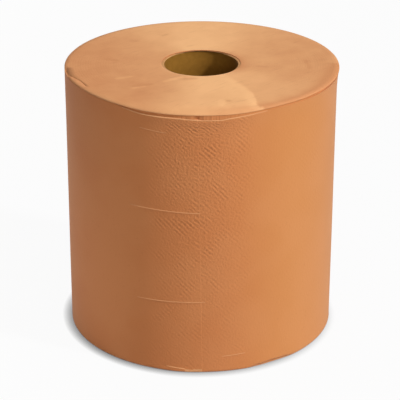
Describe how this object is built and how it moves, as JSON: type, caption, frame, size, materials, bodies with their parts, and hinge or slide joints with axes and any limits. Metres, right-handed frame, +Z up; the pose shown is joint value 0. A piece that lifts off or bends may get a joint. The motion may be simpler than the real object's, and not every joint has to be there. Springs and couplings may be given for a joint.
{
  "type": "paper towel roll",
  "caption": "Large standing roll of embossed two-ply paper towel on a hollow cardboard core, with the loose end down the front and a slightly flared upper rim.",
  "frame": {"origin": "on the axis of the core, in the plane that the roll stands on", "axes": "+Z up along the core; -Y is the front, where the loose end of the paper lies; +X is the side where the upper rim leans out"},
  "size_m": [0.2602, 0.2606, 0.262],
  "materials": {
    "towel_paper": "matte",
    "core_board": "matte"
  },
  "bodies": {
    "root": {"paper_roll": "towel_paper", "core_tube": "core_board"}
  },
  "joints": []
}
